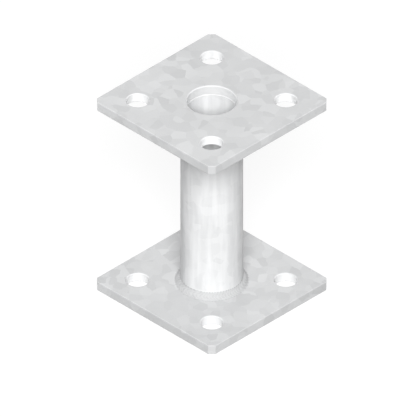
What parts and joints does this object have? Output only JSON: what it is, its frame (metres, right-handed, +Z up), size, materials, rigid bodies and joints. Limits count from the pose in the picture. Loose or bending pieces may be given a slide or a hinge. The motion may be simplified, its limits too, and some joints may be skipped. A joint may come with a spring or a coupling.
{
  "type": "timber post base",
  "caption": "Welded steel base that stands a timber post clear of the ground: square head and base plates with clipped corners and bolt holes, joined by a round tube.",
  "frame": {"origin": "middle of the base plate's underside", "axes": "+Z up along the tube to the head plate, X and Y along the plates' sides"},
  "size_m": [0.08, 0.08, 0.11],
  "materials": {
    "galvanised_plate": "hot-dip galvanised sheet, light grey satin with fine spangle",
    "galvanised_tube": "hot-dip galvanised tube, light grey satin",
    "galvanised_weld": "weld bead under zinc, a little rougher and duller than the plate"
  },
  "bodies": {
    "root": {"base_plate": "galvanised_plate", "head_plate": "galvanised_plate", "tube": "galvanised_tube", "base_weld": "galvanised_weld", "head_weld": "galvanised_weld"}
  },
  "joints": []
}
